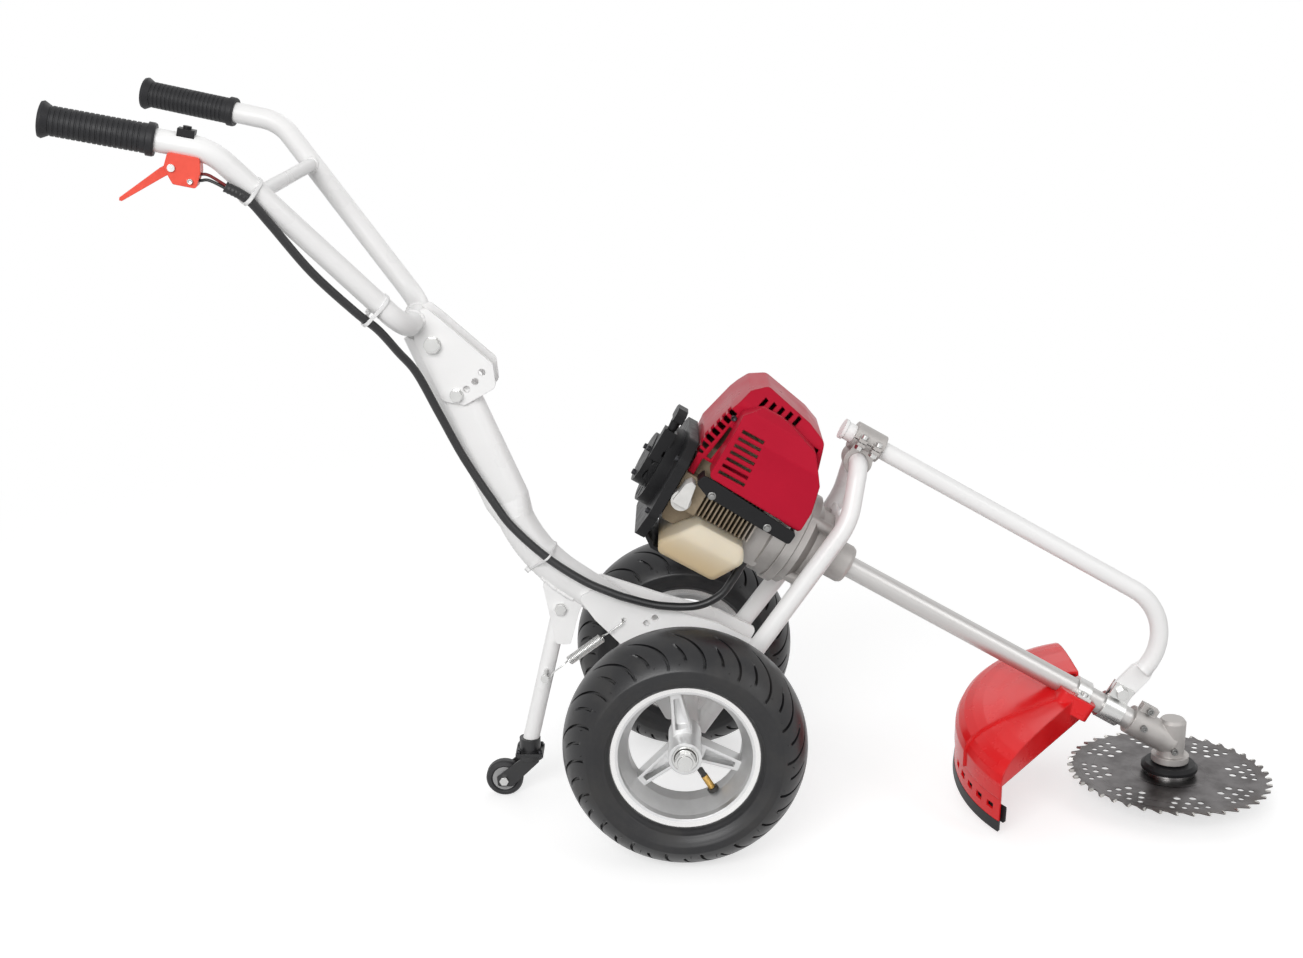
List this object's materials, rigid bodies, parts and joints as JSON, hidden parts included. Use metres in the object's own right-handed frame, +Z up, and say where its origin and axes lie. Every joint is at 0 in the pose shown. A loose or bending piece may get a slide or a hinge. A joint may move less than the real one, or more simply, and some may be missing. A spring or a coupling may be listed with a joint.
{
  "type": "brush_cutter",
  "caption": "Wheeled brush cutter with a white tube frame, small red and black engine, sloping drive tube, red guard and a level toothed blade.",
  "frame": {"origin": "On the ground, below the middle of the machine's overall box", "axes": "X forward to the blade, Y to the operator's left, Z up"},
  "size_m": [1.395, 0.44, 0.8639],
  "materials": {
    "white_paint": "gloss",
    "bright_steel": "satin",
    "spring_steel": "gloss",
    "blade_steel": "satin",
    "cast_alloy": "satin",
    "engine_alloy": "matte",
    "tube_alloy": "satin",
    "tyre_rubber": "matte",
    "grip_rubber": "matte",
    "cable_sleeve": "satin",
    "black_plastic": "matte",
    "black_fork": "satin",
    "red_plastic": "gloss",
    "orange_plastic": "satin",
    "dark_plastic": "satin",
    "pale_plastic": "satin",
    "tank_plastic": "satin",
    "valve_brass": "satin"
  },
  "bodies": {
    "frame": {"main_column": "white_paint", "base_plates": "white_paint", "axle_tube": "white_paint", "axle": "bright_steel", "axle_nuts": "bright_steel", "engine_hoop": "white_paint", "mount_plate": "white_paint", "pivot_bolt": "bright_steel", "throttle_cable": "cable_sleeve", "stand_bracket": "white_paint", "stand_bolt": "bright_steel", "stand_spring": "spring_steel", "cross_clamp": "cast_alloy", "clamp_bolts": "bright_steel", "support_bar": "white_paint", "bar_plug": "pale_plastic", "bar_foot_clamp": "cast_alloy", "engine_block": "engine_alloy", "top_cover": "red_plastic", "muffler_cover": "red_plastic", "lower_shroud": "black_plastic", "air_cleaner": "black_plastic", "starter_housing": "black_plastic", "oil_filler": "pale_plastic", "fuel_tank": "tank_plastic", "clutch_housing": "cast_alloy", "drive_tube": "tube_alloy", "gear_case": "cast_alloy", "dust_collar": "grip_rubber", "guard_shell": "red_plastic", "guard_skirt": "red_plastic", "guard_bracket": "bright_steel"},
    "right_wheel": {"tyre_right": "tyre_rubber", "rim_right": "cast_alloy", "bearings_right": "bright_steel", "valve_right": "valve_brass"},
    "left_wheel": {"tyre_left": "tyre_rubber", "rim_left": "cast_alloy", "bearings_left": "bright_steel", "valve_left": "valve_brass"},
    "handle": {"handle_tube": "white_paint", "handle_brace": "white_paint", "adjuster_plates": "white_paint", "lock_screws": "bright_steel", "grips": "grip_rubber", "throttle_housing": "orange_plastic", "throttle_pin": "bright_steel", "throttle_clamp": "dark_plastic", "cable_ties": "pale_plastic"},
    "throttle": {"throttle_lever": "orange_plastic"},
    "stand": {"stand_leg": "white_paint"},
    "caster": {"caster_fork": "black_fork", "caster_axle": "bright_steel"},
    "caster_roller": {"caster_wheel": "grip_rubber"},
    "crank": {"clutch_rotor": "bright_steel"},
    "shaft": {"drive_shaft": "bright_steel"},
    "cutter": {"spindle": "bright_steel", "blade": "blade_steel"},
    "starter": {"starter_grip": "black_plastic"},
    "tank_cap": {"fuel_cap": "black_plastic"}
  },
  "joints": [
    {"name": "right_wheel_spin", "type": "hinge", "parent": "frame", "child": "right_wheel", "pos_m": [-0.02718, -0.168, 0.14], "axis": [0, 1, 0], "continuous": true},
    {"name": "left_wheel_spin", "type": "hinge", "parent": "frame", "child": "left_wheel", "pos_m": [-0.02718, 0.168, 0.14], "axis": [0, 1, 0], "continuous": true},
    {"name": "handle_tilt", "type": "hinge", "parent": "frame", "child": "handle", "pos_m": [-0.32058, 0, 0.57464], "axis": [0, 1, 0], "range_deg": [0, 36], "deforming": ["throttle_cable"]},
    {"name": "throttle_pull", "type": "hinge", "parent": "handle", "child": "throttle", "pos_m": [-0.56456, -0.18048, 0.79523], "axis": [-0.113, 0.9936, 0], "range_deg": [0, 24], "stiffness_Nm_per_rad": 0.3, "springref_deg": -20.05},
    {"name": "stand_fold", "type": "hinge", "parent": "frame", "child": "stand", "pos_m": [-0.17718, 0, 0.25], "axis": [0, 1, 0], "range_deg": [0, 75], "stiffness_Nm_per_rad": 6, "springref_deg": -57.3, "deforming": ["stand_spring"]},
    {"name": "caster_swivel", "type": "hinge", "parent": "stand", "child": "caster", "pos_m": [-0.21807, 0, 0.023], "axis": [0, 0, 1], "continuous": true},
    {"name": "caster_roll", "type": "hinge", "parent": "caster", "child": "caster_roller", "pos_m": [-0.25007, 0, 0.023], "axis": [0, 1, 0], "continuous": true},
    {"name": "blade_spin", "type": "hinge", "parent": "frame", "child": "cutter", "pos_m": [0.57351, 0, 0.033], "axis": [0, 0, 1], "continuous": true},
    {"name": "shaft_spin", "type": "hinge", "parent": "frame", "child": "shaft", "pos_m": [0.17982, 0, 0.2946], "axis": [0.8729, 0, -0.4879], "continuous": true},
    {"name": "crank_spin", "type": "hinge", "parent": "frame", "child": "crank", "pos_m": [0.04888, 0, 0.36778], "axis": [0.8729, 0, -0.4879], "continuous": true},
    {"name": "starter_pull", "type": "slide", "parent": "frame", "child": "starter", "axis": [0.4879, 0, 0.8729], "range_m": [0, 0.45], "stiffness_N_per_m": 6, "springref_m": -0.2},
    {"name": "tank_cap_turn", "type": "hinge", "parent": "frame", "child": "tank_cap", "pos_m": [-0.01579, 0.054, 0.33404], "axis": [0, 1, 0], "continuous": true}
  ],
  "couplings": [
    {"joint": "shaft_spin", "follows": "blade_spin", "ratio": 1.3571}
  ]
}
